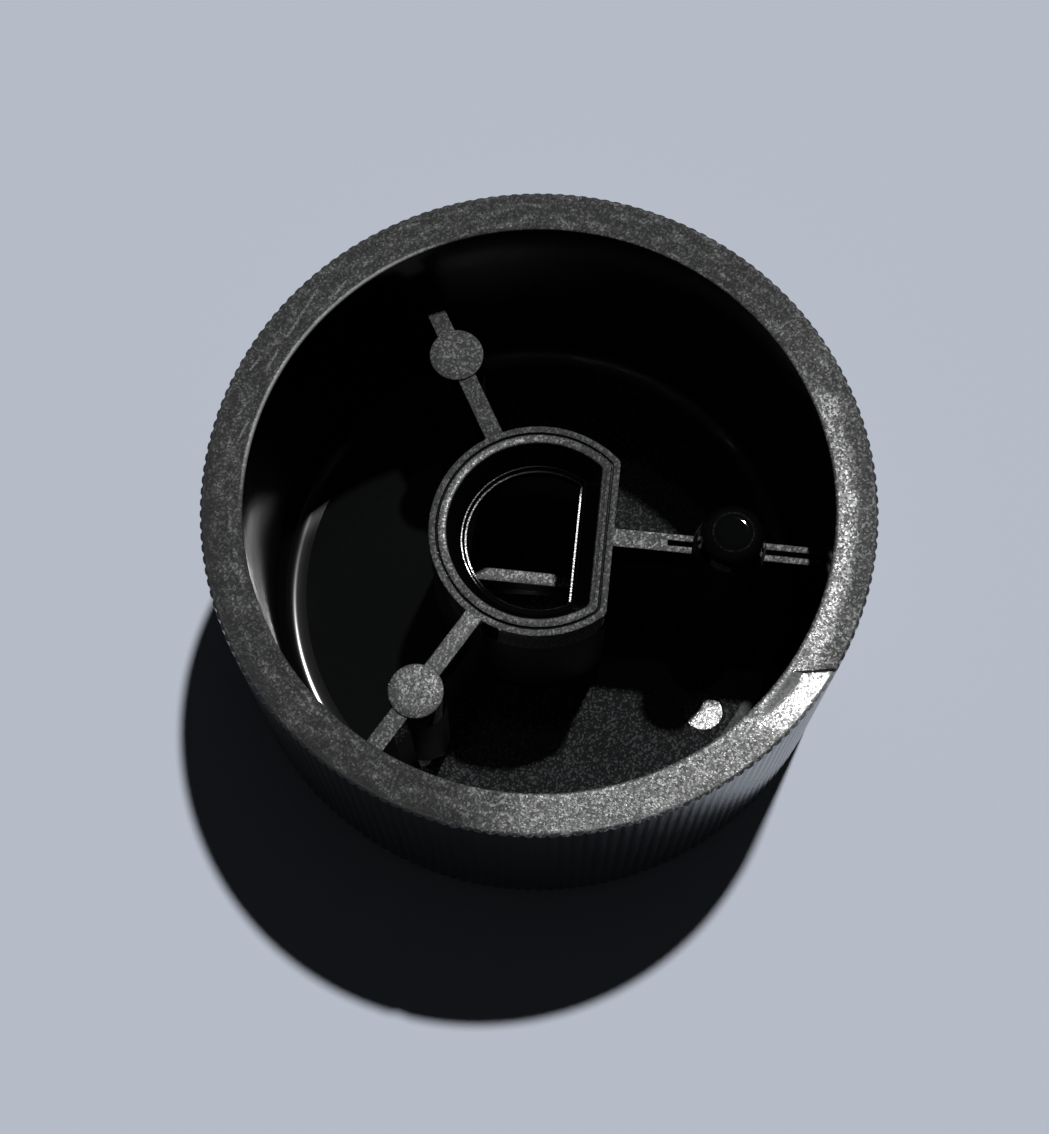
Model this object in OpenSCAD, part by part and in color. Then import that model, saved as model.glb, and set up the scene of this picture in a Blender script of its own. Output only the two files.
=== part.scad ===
// Radio knob: one black moulding with a knurled skirt, open at the back,
// with a D-socket hub, three ribs, two ejector posts, one tall peg and a pin mark.
// Front face on z = 0, open rim at the top, socket flat towards +X.

/* [Skirt] */
// Outside diameter over the knurl crests
knob_diameter = 27; // [22:0.5:36]
// Height from the front face to the open rim
knob_height = 14; // [12:0.5:20]
// Thickness of the skirt wall at the rim
wall = 1.7; // [1.2:0.1:2.5]
// Thickness of the front disc
floor_thickness = 1.2; // [1:0.1:3]
// Radius between the floor and the skirt wall, inside
floor_round = 0.9; // [0.4:0.1:1.5]
// Bevel on the outer edge of the rim
rim_bevel = 0.03; // [0.02:0.01:0.3]
// Bevel on the edge of the front face
front_bevel = 0.5; // [0.3:0.1:1]

/* [Knurl] */
// Number of straight knurl teeth
knurl_count = 176; // [96:8:200]
// Depth of the knurl grooves
knurl_depth = 0.08; // [0.06:0.02:0.24]
// Part of each pitch that stays as the crest
knurl_crest = 0.35; // [0.2:0.05:0.6]

/* [Socket] */
// Diameter of the shaft
shaft_diameter = 6; // [5:0.05:6.5]
// Size of the shaft measured across its flat
shaft_across_flat = 4.5; // [3.8:0.05:4.8]
// Gap between the shaft and the socket on each side
shaft_clearance = 0.03; // [0:0.01:0.1]
// Wall of the hub round the socket
hub_wall = 1.55; // [1.2:0.05:2]
// Depth of the hub end and the ribs below the rim
hub_drop = 3.8; // [2.5:0.1:5]
// Width of the land round the mouth of the socket
hub_land = 0.76; // [0.6:0.02:1]
// Depth of the tapered lead-in
lead_depth = 1.3; // [0.8:0.1:2]
// Width of the bevel between the lead-in and the bore
bore_bevel = 0.2; // [0.1:0.05:0.3]
// Cut across the corners where the hub's round side meets its flat
hub_corner = 0.1; // [0.05:0.01:0.2]
// Height of the bar across the bottom of the socket, above the floor
bar_height = 1.9; // [1:0.05:3]
// Width of that bar
bar_width = 0.6; // [0.4:0.05:1]

/* [Ribs] */
// Width of the three ribs
rib_width = 0.8; // [0.6:0.05:1.2]
// Width of the slot in the rib on the flat side
slot_width = 0.2; // [0.15:0.05:0.3]
// Depth of that slot
slot_depth = 2; // [1:0.1:3]
// Length of solid rib between the hub and the slot
slot_start = 2.25; // [1.5:0.05:3]

/* [Posts] */
// Diameter of the two ejector posts
post_diameter = 2.3; // [1.8:0.05:3]
// Height of the posts above the ribs
post_proud = 0.1; // [0.05:0.05:0.3]
// Distance from the knob axis to the posts
post_radius = 8.5; // [7.5:0.1:9.5]
// Diameter of the tall peg
peg_diameter = 2.65; // [2:0.05:3]
// Distance from the knob axis to the peg
peg_radius = 7.9; // [7.4:0.1:9]
// Depth of the peg's top below the rim
peg_drop = 1.55; // [0.5:0.05:2.5]
// Rounding of the peg's top edge
peg_round = 0.75; // [0.3:0.05:0.9]

/* [Witness lines] */
// Width of the fine line round the hub end
line_width = 0.1; // [0.06:0.02:0.2]
// Depth of the fine line
line_depth = 0.12; // [0.06:0.02:0.2]
// Distance of the fine line from the hub's outside
line_inset = 0.34; // [0.25:0.01:0.4]

/* [Pin mark] */
// Diameter of the round pin mark in the floor
mark_diameter = 1.8; // [1.4:0.1:2.4]
// Depth of the pin mark
mark_depth = 0.15; // [0.1:0.05:0.3]
// Distance from the knob axis to the pin mark
mark_radius = 9.2; // [8.5:0.1:9.6]
// Angle from the slotted rib back to the pin mark
mark_angle = 31; // [25:1:45]

/* [Hidden] */
$fn = 96;
eps = 0.02;
far = knob_diameter;
knob_r = knob_diameter / 2;
cavity_r = knob_r - wall;
hub_z = knob_height - hub_drop;
bore_r = shaft_diameter / 2 + shaft_clearance;
bore_flat = shaft_across_flat - shaft_diameter / 2 + shaft_clearance;
hub_r = bore_r + hub_wall;
hub_flat = bore_flat + hub_wall + 0.05;
mouth_r = hub_r - hub_land;
mouth_flat = hub_flat - hub_land;
lead_z = hub_z - lead_depth;
bevel_z = lead_z - bore_bevel;
rib_root = bore_flat + hub_wall / 2;
rib_end = cavity_r + wall / 2;
peg_z = knob_height - peg_drop;
pitch_angle = 360 / knurl_count;

// Outline with a round side and a flat towards +X, its two corners cut back a little
module d_outline(r, flat, cut) {
    half = acos(flat / r) / 2;
    difference() {
        circle(r);
        translate([flat, -far]) square([far, 2 * far]);
        for (side = [-1, 1])
            rotate(side * half)
                translate([r * cos(half) - cut, -far]) square([far, 2 * far]);
    }
}

// Knurled outline: crests on the outside diameter with a V between them
module knurl_outline() {
    half = pitch_angle * knurl_crest / 2;
    root_r = knob_r - knurl_depth;
    polygon([
        for (i = [0 : knurl_count - 1])
            for (p = [[knob_r, -half], [knob_r, half], [root_r, pitch_angle / 2]])
                p[0] * [cos(i * pitch_angle + p[1]), sin(i * pitch_angle + p[1])]
    ]);
}

// Turned limits of the skirt, bevelled at the front face and at the rim
module skirt_limits() {
    over_r = knob_r + eps;
    rim_r = knob_r - knurl_depth - rim_bevel;
    rotate_extrude()
        polygon([
            [0, 0],
            [knob_r - front_bevel, 0],
            [over_r, front_bevel + eps],
            [over_r, knob_height - (over_r - rim_r)],
            [rim_r, knob_height],
            [0, knob_height]
        ]);
}

// Open space inside the skirt, rounded at the floor
module cavity() {
    rotate_extrude() {
        translate([0, floor_thickness])
            square([cavity_r - floor_round, knob_height]);
        translate([0, floor_thickness + floor_round])
            square([cavity_r, knob_height]);
        translate([cavity_r - floor_round, floor_thickness + floor_round])
            circle(floor_round);
    }
}

// Straight rib from the hub into the skirt wall
module rib(angle) {
    rotate([0, 0, angle])
        translate([rib_root, -rib_width / 2, floor_thickness - eps])
            cube([rib_end - rib_root, rib_width, hub_z - floor_thickness + eps]);
}

// Ejector post on a rib
module post(angle) {
    rotate([0, 0, angle])
        translate([post_radius, 0, floor_thickness - eps])
            cylinder(h = hub_z + post_proud - floor_thickness + eps, d = post_diameter);
}

// Tall peg with a rounded top
module peg() {
    h = peg_z - floor_thickness;
    r = peg_diameter / 2;
    translate([peg_radius, 0, floor_thickness - eps])
        rotate_extrude() {
            square([r, h - peg_round + eps]);
            square([r - peg_round, h + eps]);
            intersection() {
                translate([r - peg_round, h - peg_round + eps]) circle(peg_round);
                square([r, h + 2 * eps]);
            }
        }
}

// Steps of the socket as [distance from the axis, height], from its bottom to above the hub end
function socket_steps(bore, mouth) = [
    [bore, floor_thickness],
    [bore, bevel_z],
    [bore + bore_bevel, lead_z],
    [mouth + (mouth - bore - bore_bevel) / lead_depth, hub_z + 1]
];

// D socket: bore, bevel and tapered lead-in, round on one side and flat towards +X
module socket() {
    intersection() {
        rotate_extrude()
            polygon(concat(
                [[0, hub_z + 1], [0, floor_thickness]],
                socket_steps(bore_r, mouth_r)
            ));
        rotate([90, 0, 0])
            linear_extrude(far, center = true)
                polygon(concat(
                    [[-far / 2, hub_z + 1], [-far / 2, floor_thickness]],
                    socket_steps(bore_flat, mouth_flat)
                ));
    }
}

// Fine lines that the mould inserts leave on the hub end
module witness_lines() {
    outer = hub_r - line_inset;
    outer_flat = hub_flat - line_inset;
    translate([0, 0, hub_z - line_depth])
        linear_extrude(far) difference() {
            d_outline(outer + line_width / 2, outer_flat + line_width / 2, hub_corner);
            d_outline(outer - line_width / 2, outer_flat - line_width / 2, hub_corner);
        }
}

// Narrow slot along the rib on the flat side, clear of the peg
module rib_slot() {
    inner = hub_flat + slot_start;
    translate([inner, -slot_width / 2, hub_z - slot_depth])
        cube([cavity_r + wall / 4 - inner, slot_width, far]);
}

// Shallow round mark that a pin leaves in the floor
module pin_mark() {
    rotate([0, 0, -mark_angle])
        translate([mark_radius, 0, floor_thickness - mark_depth])
            cylinder(h = mark_depth + eps, d = mark_diameter);
}

module knob() color("#1b1c1d") {
    difference() {
        union() {
            difference() {
                intersection() {
                    translate([0, 0, -1])
                        linear_extrude(knob_height + 2) knurl_outline();
                    skirt_limits();
                }
                cavity();
            }
            translate([0, 0, floor_thickness - eps])
                linear_extrude(hub_z - floor_thickness + eps)
                    d_outline(hub_r, hub_flat, hub_corner);
            difference() {
                rib(0);
                rib_slot();
            }
            rib(120);
            rib(240);
            post(120);
            post(240);
            peg();
        }
        socket();
        witness_lines();
        pin_mark();
    }
    translate([-bore_r - hub_wall / 2, -bar_width / 2, floor_thickness - eps])
        cube([bore_r + bore_flat + hub_wall, bar_width, bar_height + eps]);
}

knob();
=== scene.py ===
import math
from types import SimpleNamespace

import bmesh
import bpy
from mathutils import Matrix, Vector


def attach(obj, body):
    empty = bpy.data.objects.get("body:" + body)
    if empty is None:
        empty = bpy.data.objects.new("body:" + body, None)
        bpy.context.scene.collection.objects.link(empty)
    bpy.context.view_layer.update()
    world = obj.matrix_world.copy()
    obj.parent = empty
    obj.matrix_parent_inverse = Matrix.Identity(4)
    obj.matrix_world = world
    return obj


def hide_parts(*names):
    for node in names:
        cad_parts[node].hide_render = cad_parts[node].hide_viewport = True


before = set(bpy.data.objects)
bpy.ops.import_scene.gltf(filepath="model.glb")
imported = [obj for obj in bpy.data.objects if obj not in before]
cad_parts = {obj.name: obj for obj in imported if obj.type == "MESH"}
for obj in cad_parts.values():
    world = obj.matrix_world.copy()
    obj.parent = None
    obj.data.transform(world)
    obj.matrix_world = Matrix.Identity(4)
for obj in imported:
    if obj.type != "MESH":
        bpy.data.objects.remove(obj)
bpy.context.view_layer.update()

mm = 0.001


# A node's socket that can be used in Python sums
class Wire:
    def __init__(self, net, socket):
        self.net = net
        self.socket = socket

    def combine(self, operation, a, b):
        return self.net.node("ShaderNodeMath", {"operation": operation}, {0: a, 1: b})

    def __add__(self, other):
        return self.combine("ADD", self, other)

    def __radd__(self, other):
        return self.combine("ADD", other, self)

    def __sub__(self, other):
        return self.combine("SUBTRACT", self, other)

    def __rsub__(self, other):
        return self.combine("SUBTRACT", other, self)

    def __mul__(self, other):
        return self.combine("MULTIPLY", self, other)

    def __rmul__(self, other):
        return self.combine("MULTIPLY", other, self)

    def __truediv__(self, other):
        return self.combine("DIVIDE", self, other)

    def __gt__(self, other):
        return self.combine("GREATER_THAN", self, other)

    def __lt__(self, other):
        return self.combine("LESS_THAN", self, other)


class Net:
    def __init__(self, tree):
        self.tree = tree

    # Any node: its type, its settings, then the values or links of its sockets
    def node(self, kind, settings=None, inputs=None, out=0):
        made = self.tree.nodes.new(kind)
        for key, value in (settings or {}).items():
            setattr(made, key, value)
        for key, value in (inputs or {}).items():
            if isinstance(value, Wire):
                self.tree.links.new(value.socket, made.inputs[key])
            else:
                made.inputs[key].default_value = value
        if isinstance(out, tuple):
            return tuple(Wire(self, made.outputs[key]) for key in out)
        return Wire(self, made.outputs[out]) if len(made.outputs) else None

    def clamp(self, value):
        return self.node("ShaderNodeClamp", None, {"Value": value})

    # How far a value is from 0, on either side
    def size(self, value):
        return self.node("ShaderNodeMath", {"operation": "ABSOLUTE"}, {0: value})

    def vector(self, operation, inputs, out=0):
        return self.node("ShaderNodeVectorMath", {"operation": operation}, inputs, out)

    def noise(self, place, scale, detail, roughness):
        inputs = {"Vector": place, "Scale": scale, "Detail": detail, "Roughness": roughness}
        return self.node("ShaderNodeTexNoise", None, inputs)

    # 0 up to start, 1 from full on and smooth between; full may be below start
    def ease(self, value, start, full):
        inputs = {"Value": value, "From Min": start, "From Max": full, "To Min": 0.0, "To Max": 1.0}
        return self.node("ShaderNodeMapRange", {"interpolation_type": "SMOOTHSTEP"}, inputs)

    # 1 on the line from a to b and 0 beside it, all in mm
    def stroke(self, flat, a, b, half):
        start = Vector(a).to_3d()
        way = Vector(b).to_3d() - start
        off = self.vector("SUBTRACT", {0: flat, 1: tuple(start)})
        share = self.vector("DOT_PRODUCT", {0: off, 1: tuple(way / way.length_squared)}, "Value")
        reach = self.vector("SCALE", {0: tuple(way), "Scale": self.clamp(share)})
        gap = self.vector("DISTANCE", {0: off, 1: reach}, "Value")
        return self.ease(gap, half, half * 0.4)

    # Colours go in at sockets 6 and 7 and come out at 2
    def mix(self, factor, a, b):
        return self.node("ShaderNodeMix", {"data_type": "RGBA"}, {0: factor, 6: a, 7: b}, 2)


# moulded black plastic: gloss on the walls, spark-eroded satin on the ends
plasticLook = {
    "glossColour": (0.0018, 0.0019, 0.0021, 1),
    "dustColour": (0.045, 0.047, 0.048, 1),
    "satinColour": (0.010, 0.0105, 0.011, 1),
    "paleColour": (0.20, 0.203, 0.206, 1),  # rubbed and scratched satin
    "grain": 13000.0,  # spark-eroded grains per metre
    "coarse": 900.0,
    "cloudy": 160.0,
    "streakWidth": 0.40,  # mm
    "streakTurns": 10,  # per radian
    "sparkLevel": (0.52, 0.90),  # which flecks are pale
    "bumpDepth": 0.03,  # mm
}

# Where the satin is rubbed, and where a highlight is painted on it, in mm; each pair is where a patch starts
# and where it is full
rubbingAndGlints = {
    "rimHeight": (13.6, 13.7),
    "side": {"way": (0.906, -0.423), "reach": (2.6, 7.0), "ragged": 3.0, "share": 0.97},
    "startLine": {"way": (0.107, 1.0), "reach": (6.9, 7.2), "ragged": 0.5, "loss": 0.62},
    "farEnd": {"reach": (0.5, 3.5), "loss": 0.26},
    "spared": {"radius": (12.40, 13.00), "reach": (10.6, 12.2), "ragged": (0.9, 0.5), "loss": 0.62},
    "inner": {"radius": (12.80, 12.30), "reach": (10.2, 11.6), "share": 0.04},
    "byRamp": {"reach": (-1.5, -4.5), "gain": 0.16, "rubbed": 0.35},
    # the ramp and this stretch of the inner edge are painted pale: partly scuffing, partly a painted
    # highlight
    "ramp": {"line": -5.8, "reach": (-9.4, -6.2), "radius": (11.8, 12.5), "share": 0.8, "pale": 0.6},
    "edge": {"radius": (11.98, 11.88), "way": (-0.87, 0.5), "reach": (9.3, 11.2), "share": 0.6, "pale": 0.9},
    "shy": {"radius": (12.8, 13.3), "way": (-0.77, -0.64), "reach": (7.0, 10.5), "loss": 0.2},
    "streaky": {"level": (0.42, 0.72), "share": 0.34},
    "lower": {"reach": (6.0, -7.0), "least": 0.10, "gain": 0.30},  # ends of the hub, ribs and posts
}

satinLook = {
    "dull": 0.77,  # roughness as moulded
    "rubbed": 0.41,
    "fleckSpread": (0.30, 0.22),  # as moulded, and what rubbing adds
    "streakSpread": (0.20, 0.15),
    "palePlain": 0.10,
    "paleSpark": (0.17, 0.85),
    "paleScratch": 0.75,
    "flattened": 0.7,  # share of the grain that rubbing takes away
    "coarseBump": 0.35,
    "scratchBump": 0.5,
    "lineBump": 1.5,
    "lineGloss": 0.7,
}

# Roughness of the gloss, by where it is in mm
glossLook = {
    "rough": 0.022,
    "outside": 0.07,
    "floorCloud": 0.04,
    "aboveTurn": (1.9, 2.3),
    "wallRadius": 10.5,
    "outsideRadius": 12.3,
    "wall": {"rough": 0.19, "uneven": 0.08, "nearReach": (-3.0, -7.0), "nearGain": 0.35},
    "turn": {"rough": 0.11, "farReach": (1.0, 5.0), "farGain": 0.3},
    "inner": {"rough": 0.42, "top": 8.2, "pegFrom": 6.3, "pegRise": 3.1, "pegGain": 0.35},
}

floorDust = {"height": (1.3, 1.25), "radius": 11.8, "polished": 0.04, "least": 0.15, "gain": 0.85}

# Fine scratches along the rim, as pairs of points in mm
scratches = {
    "half": 0.07,
    "broken": (0.36, 0.56),
    "lines": (
        ((-8.84, 8.61), (-9.34, 7.77)),
        ((-9.99, 8.10), (-10.50, 6.87)),
        ((-10.50, 6.87), (-10.91, 5.92)),
        ((-11.19, 5.30), (-11.51, 4.56)),
        ((-11.86, 4.91), (-12.20, 4.36)),
        ((-11.96, 2.21), (-12.25, 1.30)),
        ((-0.36, 12.36), (-0.24, 12.16)),
        ((-3.12, 13.14), (-3.06, 13.00)),
    ),
}

# Faint line between the mould inserts on the hub's flat side
insertLine = {"x": 2.54, "width": (0.05, 0.02), "heights": (10.1, 10.25), "reach": 2.9}


# Places on the moulding in mm, and the patterns that the finishes share
def surface(net):
    look = plasticLook
    s = SimpleNamespace()
    place = net.node("ShaderNodeTexCoord", out="Object")
    placed = net.vector("SCALE", {0: place, "Scale": 1 / mm})
    s.x, s.y, s.z = net.node("ShaderNodeSeparateXYZ", None, {"Vector": placed}, ("X", "Y", "Z"))
    s.wide = net.size(s.y)
    s.flat = net.vector("MULTIPLY", {0: placed, 1: (1, 1, 0)})
    s.r = net.vector("LENGTH", {0: s.flat}, "Value")
    s.finish = net.node("ShaderNodeAttribute", {"attribute_name": "satin"}, out="Fac")
    s.grain = net.noise(place, look["grain"], 2.0, 0.65)
    s.fleck = net.node("ShaderNodeTexVoronoi", None, {"Vector": place, "Scale": look["grain"]}, "Color")
    s.spark = net.ease(s.fleck, *look["sparkLevel"])
    s.coarse = net.noise(place, look["coarse"], 3.0, 0.55)
    s.uneven = s.coarse - 0.5
    s.cloudy = net.noise(place, look["cloudy"], 2.0, 0.5)
    angle = net.node("ShaderNodeMath", {"operation": "ARCTAN2"}, {0: 0 - s.y, 1: 0 - s.x})
    polar = {"X": s.r / look["streakWidth"], "Y": angle * look["streakTurns"]}
    s.streaks = net.noise(net.node("ShaderNodeCombineXYZ", None, polar), 1.0, 3.0, 0.6)
    return s


# Distance from the axis along a flat way
def towards(s, way):
    return way[0] * s.x + way[1] * s.y


# The rim is rubbed on one side, most on its inner half; its ramp and the upper left of its inner edge are
# also painted paler, partly as scuffing and partly as a painted highlight
def rubSatinAndGlints(net, s):
    side, line, far, spared = (rubbingAndGlints[k] for k in ("side", "startLine", "farEnd", "spared"))
    inner, near, ramp, edge = (rubbingAndGlints[k] for k in ("inner", "byRamp", "ramp", "edge"))
    shy, streaky, lower = (rubbingAndGlints[k] for k in ("shy", "streaky", "lower"))

    onSide = net.ease(towards(s, side["way"]) + side["ragged"] * s.uneven, *side["reach"])
    beyond = net.ease(towards(s, line["way"]) + line["ragged"] * s.uneven, *line["reach"])
    onSide = onSide * (1 - line["loss"] * beyond) * (1 - far["loss"] * net.ease(s.y, *far["reach"]))
    byRamp = net.ease(s.y, *near["reach"])
    border = s.r + spared["ragged"][0] * s.uneven + spared["ragged"][1] * (s.streaks - 0.5)
    outerHalf = net.ease(border, *spared["radius"]) * net.ease(s.x, *spared["reach"])
    outerHalf = outerHalf * (s.y > ramp["line"]) * (1 - near["rubbed"] * byRamp)
    innerHalf = net.ease(s.r, *inner["radius"]) * net.ease(s.x, *inner["reach"])
    onRamp = net.ease(s.y, *ramp["reach"]) * net.ease(s.r, *ramp["radius"])
    onRamp = onRamp * (s.y < ramp["line"]) * (s.x > 0)
    onEdge = net.ease(s.r, *edge["radius"]) * net.ease(towards(s, edge["way"]), *edge["reach"])
    shyEdge = net.ease(s.r, *shy["radius"]) * net.ease(towards(s, shy["way"]), *shy["reach"])
    patchy = net.ease(s.streaks, *streaky["level"]) * (1 - onSide)

    s.rim = net.ease(s.z, *rubbingAndGlints["rimHeight"])
    onRim = onSide * (side["share"] - spared["loss"] * outerHalf)
    onRim = onRim + (inner["share"] + near["gain"] * byRamp) * innerHalf
    onRim = onRim + ramp["share"] * onRamp + edge["share"] * onEdge
    onRim = onRim + streaky["share"] * patchy - shy["loss"] * shyEdge
    below = lower["least"] + lower["gain"] * net.ease(s.y, *lower["reach"])
    s.worn = s.rim * onRim + (1 - s.rim) * below + net.ease(s.finish, 1.0, 2.0)
    # paler colour on the ramp and inner edge: scuffing and a painted highlight
    s.bared = (ramp["pale"] * onRamp + edge["pale"] * onEdge) * s.rim


def scratchSatin(net, s):
    strokes = 0
    for a, b in scratches["lines"]:
        strokes = strokes + net.stroke(s.flat, a, b, scratches["half"])
    s.scratched = strokes * s.rim * net.ease(s.grain, *scratches["broken"])
    low, high = insertLine["heights"]
    away = net.ease(net.size(s.x - insertLine["x"]), *insertLine["width"])
    s.line = away * (s.z > low) * (s.z < high) * (s.wide < insertLine["reach"])


def satinTone(net, s):
    least, gain = satinLook["paleSpark"]
    pale = satinLook["palePlain"] * s.worn + s.spark * (least + gain * s.worn)
    # bared adds the painted highlight on the ramp and the inner edge
    pale = pale + satinLook["paleScratch"] * s.scratched + s.bared
    return net.mix(pale, plasticLook["satinColour"], plasticLook["paleColour"])


# Dust lies on the floor, apart from the polished third between two of the ribs
def glossTone(net, s):
    polished = (s.x + math.tan(math.radians(30)) * s.wide) < 0
    specks = (floorDust["least"] + floorDust["gain"] * s.spark) * (1 - polished)
    specks = specks + floorDust["polished"] * polished
    dust = net.ease(s.z, *floorDust["height"]) * (s.r < floorDust["radius"]) * specks
    return net.mix(dust, plasticLook["glossColour"], plasticLook["dustColour"])


def satinRoughness(s):
    dull, rubbed = satinLook["dull"], satinLook["rubbed"]
    rough = dull + (rubbed - dull) * s.worn
    spreads = ((s.fleck, satinLook["fleckSpread"]), (s.streaks, satinLook["streakSpread"]))
    for pattern, (moulded, added) in spreads:
        rough = rough + (moulded + added * s.worn) * (0.5 - pattern)
    return rough


def glossRoughness(net, s):
    wall, turn, inner = (glossLook[k] for k in ("wall", "turn", "inner"))
    outer = s.r > glossLook["wallRadius"]
    inside = s.r < glossLook["outsideRadius"]
    onSkirt = outer * inside
    byPeg = s.x > inner["pegFrom"]
    wallRough = wall["rough"] + wall["uneven"] * s.uneven
    wallRough = wallRough + wall["nearGain"] * net.ease(s.y, *wall["nearReach"])
    innerRough = inner["rough"] + inner["pegGain"] * byPeg
    innerRough = innerRough * (s.z < inner["top"] + inner["pegRise"] * byPeg)
    turnRough = turn["rough"] + turn["farGain"] * net.ease(s.y, *turn["farReach"])
    above = wallRough * onSkirt + innerRough * (1 - outer)
    below = turnRough * onSkirt + glossLook["floorCloud"] * s.cloudy * (1 - outer)
    high = net.ease(s.z, *glossLook["aboveTurn"])
    return glossLook["rough"] + high * above + (1 - high) * below + glossLook["outside"] * (1 - inside)


def mouldedPlastic():
    mat = bpy.data.materials.new("mouldedBlackPlastic")
    mat.use_nodes = True
    mat.node_tree.nodes.clear()
    net = Net(mat.node_tree)
    s = surface(net)
    rubSatinAndGlints(net, s)
    scratchSatin(net, s)
    satin = net.clamp(s.finish)

    tone = net.mix(satin * (1 - satinLook["lineGloss"] * s.line), glossTone(net, s), satinTone(net, s))
    rough = satinRoughness(s) * satin + glossRoughness(net, s) * (1 - satin)
    height = s.grain * (1 - satinLook["flattened"] * net.clamp(s.worn)) + satinLook["coarseBump"] * s.coarse
    height = height + satinLook["scratchBump"] * s.scratched - satinLook["lineBump"] * s.line
    relief = {"Strength": 1.0, "Distance": plasticLook["bumpDepth"] * mm, "Height": height * satin}
    bump = net.node("ShaderNodeBump", None, relief)
    finish = {"Base Color": tone, "Roughness": rough, "Normal": bump, "IOR": 1.5, "Specular IOR Level": 0.5}
    shader = net.node("ShaderNodeBsdfPrincipled", None, finish)
    net.node("ShaderNodeOutputMaterial", None, {"Surface": shader})
    return mat


plastic = mouldedPlastic()
print("material: moulded plastic")


# A piece while it is made, in mm; a face's satin share is 0 for gloss, 1 for satin, and above 1 it is rubbed
# and paler; on the hub's mouth and the pin mark that paleness is a painted highlight
class Shell:
    def __init__(self):
        self.points = []
        self.faces = []
        self.satin = []

    # Adds points and gives back their numbers
    def add(self, points):
        first = len(self.points)
        self.points.extend(points)
        return list(range(first, len(self.points)))

    def face(self, corners, share):
        self.faces.append(tuple(corners))
        self.satin.append(share)

    # Joins two closed rings; share is a number, or a function of two neighbours on the first ring
    def strip(self, a, b, share):
        for i in range(len(a)):
            j = (i + 1) % len(a)
            value = share(self.points[a[i]], self.points[a[j]]) if callable(share) else share
            self.face((a[i], a[j], b[j], b[i]), value)

    def piece(self, name):
        mesh = bpy.data.meshes.new(name)
        mesh.from_pydata([Vector(p) * mm for p in self.points], [], self.faces)
        layer = mesh.attributes.new("satin", "FLOAT", "FACE")
        layer.data.foreach_set("value", self.satin)
        mesh.materials.append(plastic)
        made = bpy.data.objects.new(name, mesh)
        bpy.context.scene.collection.objects.link(made)
        return made


# Even steps from a to b, without b
def steps(a, b, n):
    return [a + (b - a) * i / n for i in range(n)]


# Points round an upright circle, in mm
def circle(x, y, r, z, n):
    return [(x + r * math.cos(t), y + r * math.sin(t), z) for t in steps(0, 2 * math.pi, n)]


# knurled skirt
skirt = {
    "radius": 13.5,
    "height": 14.0,
    "bore": 11.8,
    "floor": 1.2,
    "floorRound": 0.9,
    "teeth": 176,
    "toothDepth": 0.08,
    "toothHalf": ((0.15, 0.0), (0.24, 0.12), (0.42, 0.88), (0.5, 1.0)),  # shares of pitch and depth
    "weld": 0.004,
    "finish": {"front": 0.45, "knurl": 0.15, "rimEdge": 0.85, "rim": 1.0, "wall": 0.0},
}


# Cross-section from the middle of the front face, round the rim, to the floor,
# with the satin share of the strip that leads to each point
def skirtSection():
    r, h, bore, floor, fillet = (skirt[k] for k in ("radius", "height", "bore", "floor", "floorRound"))
    over = r + 0.1  # past the teeth, which cut it back
    turn = [i * math.pi / 14 for i in range(8)]
    stretches = {
        "front": [(1.0, 0), (6.0, 0), (11.0, 0), (r - 0.62, 0), (r - 0.52, 0.012)],
        "knurl": [
            (r - 0.45, 0.05), (r - 0.10, 0.40), (r - 0.03, 0.48), (over, 0.62), (over, 1.2),
            (over, 5.0), (over, 9.0), (over, h - 0.8), (over, h - 0.26), (r, h - 0.11),
        ],
        "rimEdge": [
            (r - 0.03, h - 0.075), (r - 0.055, h - 0.045), (r - 0.08, h - 0.02),
            (r - 0.12, h - 0.004), (r - 0.17, h),
        ],
        "rim": [(r - 0.3 - 0.15 * i, h) for i in range(8)] + [
            (bore + 0.13, h), (bore + 0.075, h - 0.007), (bore + 0.035, h - 0.025),
            (bore + 0.012, h - 0.055), (bore, h - 0.11),
        ],
        "wall": [(bore, 11.0), (bore, 7.0), (bore, 4.0)]
        + [(bore - fillet * (1 - math.cos(a)), floor + fillet * (1 - math.sin(a))) for a in turn]
        + [(bore - fillet - 0.3, floor)],
    }
    return [(*p, skirt["finish"][name]) for name, points in stretches.items() for p in points]


# One tooth's share of the skirt, for the tree to repeat
def skirtWedge():
    section = skirtSection()
    pitch = 2 * math.pi / skirt["teeth"]
    half = skirt["toothHalf"]
    shell = Shell()
    columns = []
    for share, drop in [(-share, drop) for share, drop in reversed(half)] + list(half):
        limit = skirt["radius"] - skirt["toothDepth"] * drop
        turn = share * pitch
        column = [(min(r, limit), z) for r, z, _ in section]
        columns.append(shell.add([(r * math.cos(turn), r * math.sin(turn), z) for r, z in column]))
    for a, b in zip(columns, columns[1:]):
        for i in range(len(section) - 1):
            shell.face((a[i], b[i], b[i + 1], a[i + 1]), section[i + 1][2])
    return shell.piece("skirt")


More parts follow.
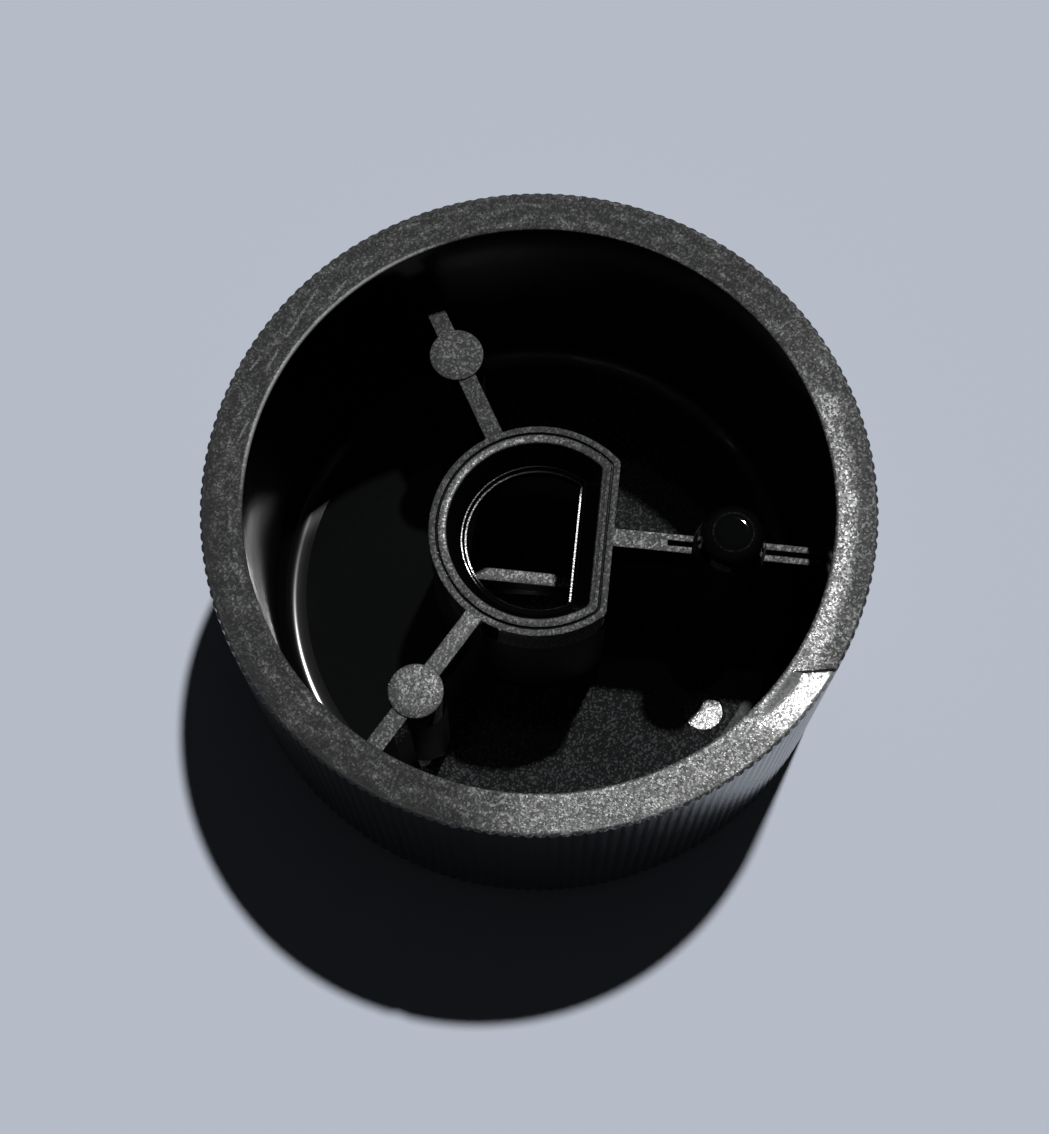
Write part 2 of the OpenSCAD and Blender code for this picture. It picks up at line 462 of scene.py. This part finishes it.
# Repeats the input round the axis and welds the copies
def roundTree():
    tree = bpy.data.node_groups.new("repeatRoundAxis", "GeometryNodeTree")
    for name, kind in (("Geometry", "Geometry"), ("Count", "Int"), ("Weld", "Float"), ("Finish", "Material")):
        tree.interface.new_socket(name, in_out="INPUT", socket_type="NodeSocket" + kind)
    tree.interface.new_socket("Geometry", in_out="OUTPUT", socket_type="NodeSocketGeometry")
    net = Net(tree)
    geometry, count, weld, finish = net.node("NodeGroupInput", out=("Geometry", "Count", "Weld", "Finish"))
    points = net.node("GeometryNodePoints", None, {"Count": count})
    angle = net.node("GeometryNodeInputIndex") * (2 * math.pi) / count
    euler = net.node("ShaderNodeCombineXYZ", None, {"Z": angle})
    turn = net.node("FunctionNodeEulerToRotation", None, {"Euler": euler})
    placing = {"Points": points, "Instance": geometry, "Rotation": turn}
    copies = net.node("GeometryNodeInstanceOnPoints", None, placing)
    solid = net.node("GeometryNodeRealizeInstances", None, {"Geometry": copies})
    welded = net.node("GeometryNodeMergeByDistance", None, {"Geometry": solid, "Distance": weld})
    coated = net.node("GeometryNodeSetMaterial", None, {"Geometry": welded, "Material": finish})
    net.node("NodeGroupOutput", None, {0: coated})
    return tree


# Runs the tree on a piece and keeps the result as a plain mesh
def repeatRound(piece, count, weld):
    tree = roundTree()
    sockets = {i.name: i.identifier for i in tree.interface.items_tree if i.in_out == "INPUT"}
    modifier = piece.modifiers.new("repeat", "NODES")
    modifier.node_group = tree
    modifier[sockets["Count"]] = count
    modifier[sockets["Weld"]] = weld * mm
    modifier[sockets["Finish"]] = plastic
    bpy.context.view_layer.update()
    evaluated = piece.evaluated_get(bpy.context.evaluated_depsgraph_get())
    made = bpy.data.meshes.new_from_object(evaluated)
    piece.modifiers.clear()
    piece.data = made
    return piece


# wear on the rim: a ramp that starts at a straight line across it, and a nick in the near edge
rimWear = {
    "from": 13.6,  # height where it begins
    "inside": 12.0,  # nothing nearer the axis is worn
    "fade": 0.3,  # from an edge to the full depth
    "ramp": {"outer": (13.35, -25.0), "inner": (12.44, -28.1), "depth": 0.2, "length": 2.6, "edge": 12.15},
    "lean": 16,  # degrees either side over which the rim's rows lean to follow the line
    "nick": {"from": -100.6, "to": -97.0, "depth": 0.16, "edge": 12.95},
}


# A value held between 0 and 1
def capped(value):
    return min(1.0, max(0.0, value))


def wearRim(piece):
    ramp, nick, fade = rimWear["ramp"], rimWear["nick"], rimWear["fade"]
    (outerR, outerTurn), (innerR, innerTurn) = ramp["outer"], ramp["inner"]
    lineY = outerR * math.sin(math.radians(outerTurn))
    for v in piece.data.vertices:
        x, y, z = v.co / mm
        r = math.hypot(x, y)
        if z < rimWear["from"] or r < rimWear["inside"]:
            continue
        turn = math.degrees(math.atan2(y, x))
        drop, lean = 0.0, 0.0
        if z > skirt["height"] - 0.01 and r < outerR:  # one of the flat's rows comes to lie on the line
            window = capped(1 - abs(turn - outerTurn) / rimWear["lean"])
            lean = (innerTurn - outerTurn) * (outerR - r) / (outerR - innerR) * window
        newTurn = math.radians(turn + lean)
        y = r * math.sin(newTurn)
        if turn < outerTurn - 0.05 and x > 0:
            away = capped(1 - (lineY - y) / ramp["length"])
            drop += ramp["depth"] * away * capped((r - ramp["edge"]) / fade)
        if nick["from"] < turn < nick["to"]:
            across = math.sin(math.pi * (turn - nick["from"]) / (nick["to"] - nick["from"]))
            drop += nick["depth"] * across * capped((r - nick["edge"]) / fade)
        z -= drop * capped((z - rimWear["from"]) / 0.1)
        v.co = Vector((r * math.cos(newTurn), y, z)) * mm


# round pin mark in the floor, leaning a little; its satin share of 2 paints it pale, a painted highlight
pinMark = {"out": 9.2, "turn": -31.0, "radius": 0.9, "depth": 0.15, "lean": 0.06, "sides": 48, "finish": 2.0}


# Closes the middle of the front face, and the floor round the pin mark
def closeMiddles(piece):
    floor, mark, n = skirt["floor"], pinMark, pinMark["sides"]
    bm = bmesh.new()
    bm.from_mesh(piece.data)
    layer = bm.faces.layers.float["satin"]
    ends = [e for e in bm.edges if e.is_boundary]
    frontEnds = [e for e in ends if e.verts[0].co.z < floor / 2 * mm]
    floorEnds = [e for e in ends if e.verts[0].co.z > floor / 2 * mm]
    for face in bmesh.ops.holes_fill(bm, edges=frontEnds, sides=0)["faces"]:
        face[layer] = skirt["finish"]["front"]
    turn = math.radians(mark["turn"])
    ring = circle(mark["out"] * math.cos(turn), mark["out"] * math.sin(turn), mark["radius"], floor, n)
    top = [bm.verts.new(Vector(p) * mm) for p in ring]
    low = []
    for (x, y, z), t in zip(ring, steps(0, 2 * math.pi, n)):
        low.append(bm.verts.new(Vector((x, y, z - mark["depth"] - mark["lean"] * math.sin(t))) * mm))
    border = [bm.edges.new((top[i], top[(i + 1) % n])) for i in range(n)]
    bmesh.ops.triangle_fill(bm, edges=floorEnds + border, use_beauty=True)
    for i in range(n):
        j = (i + 1) % n
        bm.faces.new((top[i], top[j], low[j], low[i]))
    # the mark's bottom is painted pale: a painted highlight
    bm.faces.new(low)[layer] = mark["finish"]
    bmesh.ops.recalc_face_normals(bm, faces=bm.faces)
    bm.to_mesh(piece.data)
    bm.free()


skirtPiece = repeatRound(skirtWedge(), skirt["teeth"], skirt["weld"])
closeMiddles(skirtPiece)
wearRim(skirtPiece)
print("skirt:", len(skirtPiece.data.polygons), "faces")


# hub with its D socket, and the three ribs that grow out of it; a finish of three
# values is for the round side's dull part, its glowing part and the flat; above 1 the glowing part is a
# painted highlight
hub = {
    "radius": 4.58,
    "flat": 3.13,
    "corner": 0.42,
    "end": 10.2,
    "root": 1.1,  # a little inside the floor
    "edge": 0.05,
    "sides": {"arcs": (9, 3, 26, 3, 9), "corner": 5, "flats": (6, 3, 6)},
    "glowTurn": 142,  # side where the mouth and the ledges catch light; on the mouth it is also a painted highlight
    "glowReach": 88,
    "line": {"inset": 0.34, "width": 0.10, "depth": 0.12, "corner": 0.36},
    "mouth": (3.82, 2.37),
    "mouthRows": (  # out from the mouth, corner, depth, finish
        # the mouth's glowing shares above 1 paint it paler: a painted highlight
        (0.15, 0.34, 0.0, (1.0, 1.75, 1.0)),
        (0.05, 0.33, 0.011, (0.9, 1.9, 0.9)),
        (0.015, 0.32, 0.03, 0.5),
        (-0.01, 0.30, 0.07, 0.2),
    ),
    "lead": 8.9,
    "bore": (3.03, 1.53),
    "ledgeRows": (  # out from the bore, corner, depth below the lead-in, lift of the flat, finish
        (0.23, 0.24, 0.0, 0.0, 0.0),
        (0.19, 0.22, 0.006, 0.0, (0.0, 0.30, 0.0)),
        (0.075, 0.19, 0.185, -0.010, 0.0),
        (0.012, 0.17, 0.195, 0.004, (0.0, 0.33, 0.28)),
        (0.0, 0.16, 0.22, 0.0, 0.0),
    ),
}

ribs = {
    "width": 0.8,
    "end": 12.3,  # inside the skirt's wall
    "finish": {120: 1.0, 240: 1.5, 0: 1.35},
    "slotStart": 5.38,
    "slotWidth": 0.2,
    "slotDepth": 2.0,
    "slotFinish": 0.1,
}


# D outline with rounded corners; joints takes the places where the ribs' sides meet it, lift raises the flat
def dRing(r, flat, corner, z, joints=None, lift=0.0):
    cx = flat - corner
    cy = math.sqrt((r - corner) ** 2 - cx * cx)
    start = math.atan2(cy, cx)
    halfWidth = ribs["width"] / 2
    half = math.asin(halfWidth / hub["radius"])
    third = math.radians(120)
    stops = [start, third - half, third + half, 2 * third - half, 2 * third + half, 2 * math.pi - start]
    sides = hub["sides"]
    joints = [] if joints is None else joints
    ring = []
    for a, b, n in zip(stops, stops[1:], sides["arcs"]):
        joints.append(len(ring))
        ring += [(r * math.cos(t), r * math.sin(t), z) for t in steps(a, b, n)]
    for t in steps(-start, 0, sides["corner"]):
        ring.append((cx + corner * math.cos(t), -cy + corner * math.sin(t), z))
    flatStops = [-cy, -halfWidth, halfWidth, cy]
    for a, b, n in zip(flatStops, flatStops[1:], sides["flats"]):
        joints.append(len(ring))
        ring += [(flat, t, z + lift) for t in steps(a, b, n)]
    for t in steps(0, start, sides["corner"]):
        ring.append((cx + corner * math.cos(t), cy + corner * math.sin(t), z))
    return ring


# Satin share that is highest towards the glow on the round side, and one value on the flat; where it passes 1
# the glow is a painted highlight
def glow(low, high, flat):
    def shareOf(p, q):
        if abs(p[0] - q[0]) < 1e-6:
            return flat
        off = math.atan2(p[1], p[0]) - math.radians(hub["glowTurn"])
        off = abs(math.remainder(off, 2 * math.pi)) / math.radians(hub["glowReach"])
        return low + (high - low) * math.cos(min(1.0, off) * math.pi / 2)
    return shareOf


# Rings from the hub's end to the bottom of the bore: round side, flat, corner, height, lift, finish
def socketRows():
    line, top, lead = hub["line"], hub["end"], hub["lead"]
    half = line["width"] / 2
    groove = ((half, 0, 1.0), (half * 0.6, 1, 0.1), (-half * 0.6, 1, 0.1), (-half, 0, 0.1))
    rows = []
    for out, deep, finish in groove:
        out -= line["inset"]
        z = top - deep * line["depth"]
        rows.append((hub["radius"] + out, hub["flat"] + out, line["corner"], z, 0, finish))
    for out, corner, deep, finish in hub["mouthRows"]:
        rows.append((hub["mouth"][0] + out, hub["mouth"][1] + out, corner, top - deep, 0, finish))
    for out, corner, deep, lift, finish in hub["ledgeRows"]:
        rows.append((hub["bore"][0] + out, hub["bore"][1] + out, corner, lead - deep, lift, finish))
    rows.append((*rows[-1][:3], hub["root"], 0, 0.0))
    return rows


# Tops of the ribs from the hub's outline into the skirt; gives the edges that walls hang from
def ribTops(shell, outline, joints):
    half, end = ribs["width"] / 2, ribs["end"]
    slot, gap = ribs["slotStart"], ribs["slotWidth"] / 2
    meets = {120: joints[1:3], 240: joints[3:5], 0: joints[6:8]}
    walls, slotWalls, covered = [], [], set()
    for turn, (a, b) in meets.items():
        far = [(end, -half), (end, half)]
        if turn == 0:  # the slotted one, beside the hub's flat
            far[1:1] = [(end, -gap), (slot, -gap), (slot, gap), (end, gap)]
        rotation = Matrix.Rotation(math.radians(turn), 3, "Z")
        outer = shell.add([tuple(rotation @ Vector((x, y, hub["end"]))) for x, y in far])
        shell.face([outline[a]] + outer + [outline[i] for i in range(b, a, -1)], ribs["finish"][turn])
        covered.update(range(a, b))
        walls += [(outline[a], outer[0]), (outer[-1], outline[b])]
        edges = list(zip(outer, outer[1:]))
        if turn == 0:
            slotWalls = edges[1:4]
            edges = [edges[0], edges[-1]]
        walls += edges
    n = len(outline)
    walls += [(outline[i], outline[(i + 1) % n]) for i in range(n) if i not in covered]
    return walls, slotWalls


# Walls from edges straight down to a height; gives the lowered points in order
def dropWalls(shell, edges, z):
    low = {}
    for i in [i for edge in edges for i in edge]:
        if i not in low:
            x, y, _ = shell.points[i]
            low[i] = shell.add([(x, y, z)])[0]
    for a, b in edges:
        shell.face((a, low[a], low[b], b), 0.0)
    return list(low.values())


# Soft top edges along every outline that ends at a satin face
def softenTop(piece, top, width):
    bm = bmesh.new()
    bm.from_mesh(piece.data)
    layer = bm.faces.layers.float["satin"]
    bmesh.ops.recalc_face_normals(bm, faces=bm.faces)
    sharp = [
        e for e in bm.edges
        if len(e.link_faces) == 2
        and all(abs(v.co.z - top * mm) < 1e-7 for v in e.verts)
        and sorted(f[layer] > 0.5 for f in e.link_faces) == [False, True]
        and e.link_faces[0].normal.dot(e.link_faces[1].normal) < 0.2
    ]
    bevel = {"offset": width * mm, "segments": 2, "profile": 0.5, "clamp_overlap": True}
    bmesh.ops.bevel(bm, geom=sharp, affect="EDGES", **bevel)
    bm.to_mesh(piece.data)
    bm.free()


def hubAndRibs():
    shell = Shell()
    joints = []
    outline = shell.add(dRing(hub["radius"], hub["flat"], hub["corner"], hub["end"], joints))
    last = outline
    for r, flat, corner, z, lift, finish in socketRows():
        ring = shell.add(dRing(r, flat, corner, z, lift=lift))
        shell.strip(last, ring, glow(*finish) if isinstance(finish, tuple) else finish)
        last = ring
    walls, slotWalls = ribTops(shell, outline, joints)
    dropWalls(shell, walls, hub["root"])
    bottom = dropWalls(shell, slotWalls, hub["end"] - ribs["slotDepth"])
    shell.face(bottom, ribs["slotFinish"])
    piece = shell.piece("hub")
    softenTop(piece, hub["end"], hub["edge"])
    return piece


hubPiece = hubAndRibs()
print("hub and ribs:", len(hubPiece.data.polygons), "faces")


# Turned piece about its own upright axis, from rows of radius, height and finish
def turned(name, section, x, y, sides):
    shell = Shell()
    rings = [shell.add(circle(x, y, r, z, sides)) for r, z, _ in section]
    for ring, above, (_, _, finish) in zip(rings, rings[1:], section[1:]):
        shell.strip(ring, above, finish)
    shell.face(rings[-1], section[-1][2])
    shell.face(reversed(rings[0]), 0.0)
    return shell.piece(name)


# flat posts on two of the ribs
posts = {"radius": 1.15, "top": 10.3, "out": 8.5, "finish": {120: 1.25, 240: 1.4}, "sides": 48}


def flatPost(name, turn):
    r, top = posts["radius"], posts["top"]
    section = [
        (r, hub["root"], 0.0), (r, top - 0.05, 0.0), (r - 0.015, top - 0.018, 0.3),
        (r - 0.05, top, 0.7), (r * 0.5, top, posts["finish"][turn]),
    ]
    a = math.radians(turn)
    return turned(name, section, posts["out"] * math.cos(a), posts["out"] * math.sin(a), posts["sides"])


# tall peg with a rounded top, and a faint ring near the end of the round
peg = {
    "radius": 1.32,
    "top": 12.45,
    "round": 0.75,
    "roundSteps": 16,
    "foot": 1.52,
    "footTop": 10.3,
    "out": 7.9,
    "ring": 0.16,
    "ringStep": 13,
    "sides": 64,
}


def roundPeg():
    top, fillet, n = peg["top"], peg["round"], peg["roundSteps"]
    flatTop = peg["radius"] - fillet
    section = [(peg["foot"], hub["root"], 0.0), (peg["foot"], peg["footTop"], 0.0)]
    for k in range(n + 1):
        a = k * math.pi / 2 / n
        finish = peg["ring"] if k == peg["ringStep"] else 0.0
        section.append((flatTop + fillet * math.cos(a), top - fillet * (1 - math.sin(a)), finish))
    section += [(flatTop * 0.9, top, 0.0), (flatTop * 0.4, top, 0.0)]
    return turned("peg", section, peg["out"], 0.0, peg["sides"])


# bar across the bottom of the socket
bar = {"from": -3.6, "to": 2.2, "width": 0.6, "top": 3.1, "edge": 0.04, "finish": 1.5, "edgeFinish": 0.5}


def socketBar():
    y, z, e = bar["width"] / 2, bar["top"], bar["edge"]
    half = [(y, hub["root"]), (y, z - e), (y - e * 0.3, z - e * 0.3), (y - e, z)]
    outline = [(-p, q) for p, q in half] + half[::-1]
    shell = Shell()
    near, far = (shell.add([(x, p, q) for p, q in outline]) for x in (bar["from"], bar["to"]))
    finishes = {2: bar["edgeFinish"], 3: bar["finish"], 4: bar["edgeFinish"]}  # the top and its edges
    n = len(outline)
    for i in range(n):
        j = (i + 1) % n
        shell.face((near[i], near[j], far[j], far[i]), finishes.get(i, 0.0))
    shell.face(reversed(near), 0.0)
    shell.face(far, 0.0)
    return shell.piece("bar")


smallPieces = [flatPost("post%d" % i, turn) for i, turn in enumerate(posts["finish"])]
smallPieces += [roundPeg(), socketBar()]
print("posts, peg and bar made")


# one moulding
def joinMoulding(target, others, sharpAngle):
    for piece in [target] + others:
        bm = bmesh.new()
        bm.from_mesh(piece.data)
        bmesh.ops.recalc_face_normals(bm, faces=bm.faces)
        bm.to_mesh(piece.data)
        bm.free()
    with bpy.context.temp_override(active_object=target, selected_editable_objects=[target] + others):
        bpy.ops.object.join()
    target.name = "mouldedKnob"
    target.data.name = "mouldedKnob"
    target.data.shade_smooth()
    target.data.set_sharp_from_angle(angle=math.radians(sharpAngle))
    return target


knob = joinMoulding(skirtPiece, [hubPiece] + smallPieces, 28)
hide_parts("knob")
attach(knob, "root")
print("knob:", len(knob.data.polygons), "faces")


# paper floor, light and camera
stageLook = {
    "paper": (0.47, 0.505, 0.58, 1),
    "paperHalf": 4.0,  # metres
    "key": {"towards": (0.1327, 0.3954, 0.9090), "spread": 0.035, "strength": 3.36},
    "sky": (0.92, 0.96, 1.0, 1),
    "skyStrength": 0.016,
}

photoView = {
    "sensor": 36.0,
    "lens": 69.84,  # on the image's long side
    "place": (2.4755, -27.8608, 96.9014),  # mm
    "right": (0.994623, 0.103547, -0.001891),
    "up": (-0.098526, 0.951702, 0.290784),
    "back": (0.031910, -0.289034, 0.956787),
}


def paperFloor():
    mesh = bpy.data.meshes.new("paper")
    h = stageLook["paperHalf"]
    mesh.from_pydata([(-h, -h, 0), (h, -h, 0), (h, h, 0), (-h, h, 0)], [], [(0, 1, 2, 3)])
    floor = bpy.data.objects.new("paper", mesh)
    bpy.context.scene.collection.objects.link(floor)
    mat = bpy.data.materials.new("palePaper")
    mat.use_nodes = True
    mat.node_tree.nodes.clear()
    net = Net(mat.node_tree)
    finish = {"Base Color": stageLook["paper"], "Roughness": 0.9, "Specular IOR Level": 0.1}
    shader = net.node("ShaderNodeBsdfPrincipled", None, finish)
    net.node("ShaderNodeOutputMaterial", None, {"Surface": shader})
    mesh.materials.append(mat)


def studioLight():
    key = stageLook["key"]
    lamp = bpy.data.lights.new("softKey", "SUN")
    lamp.angle = key["spread"]
    lamp.energy = key["strength"]
    holder = bpy.data.objects.new("softKey", lamp)
    way = Vector(key["towards"]).normalized()
    holder.location = way
    holder.rotation_mode = "QUATERNION"
    holder.rotation_quaternion = way.to_track_quat("Z", "Y")
    bpy.context.scene.collection.objects.link(holder)
    world = bpy.data.worlds.new("softSky")
    world.use_nodes = True
    world.node_tree.nodes.clear()
    net = Net(world.node_tree)
    glare = {"Color": stageLook["sky"], "Strength": stageLook["skyStrength"]}
    sky = net.node("ShaderNodeBackground", None, glare)
    net.node("ShaderNodeOutputWorld", None, {"Surface": sky})
    bpy.context.scene.world = world


def photoCamera():
    data = bpy.data.cameras.new("photoCamera")
    data.sensor_width = photoView["sensor"]
    data.lens = photoView["lens"]
    data.clip_start = 0.002
    data.clip_end = 10.0
    camera = bpy.data.objects.new("photoCamera", data)
    turn = Matrix([photoView[k] for k in ("right", "up", "back")]).transposed().to_4x4()
    camera.matrix_world = Matrix.Translation(Vector(photoView["place"]) * mm) @ turn
    bpy.context.scene.collection.objects.link(camera)
    bpy.context.scene.camera = camera


paperFloor()
studioLight()
photoCamera()
bpy.context.scene.view_settings.view_transform = "Standard"
print("stage, light and camera made")
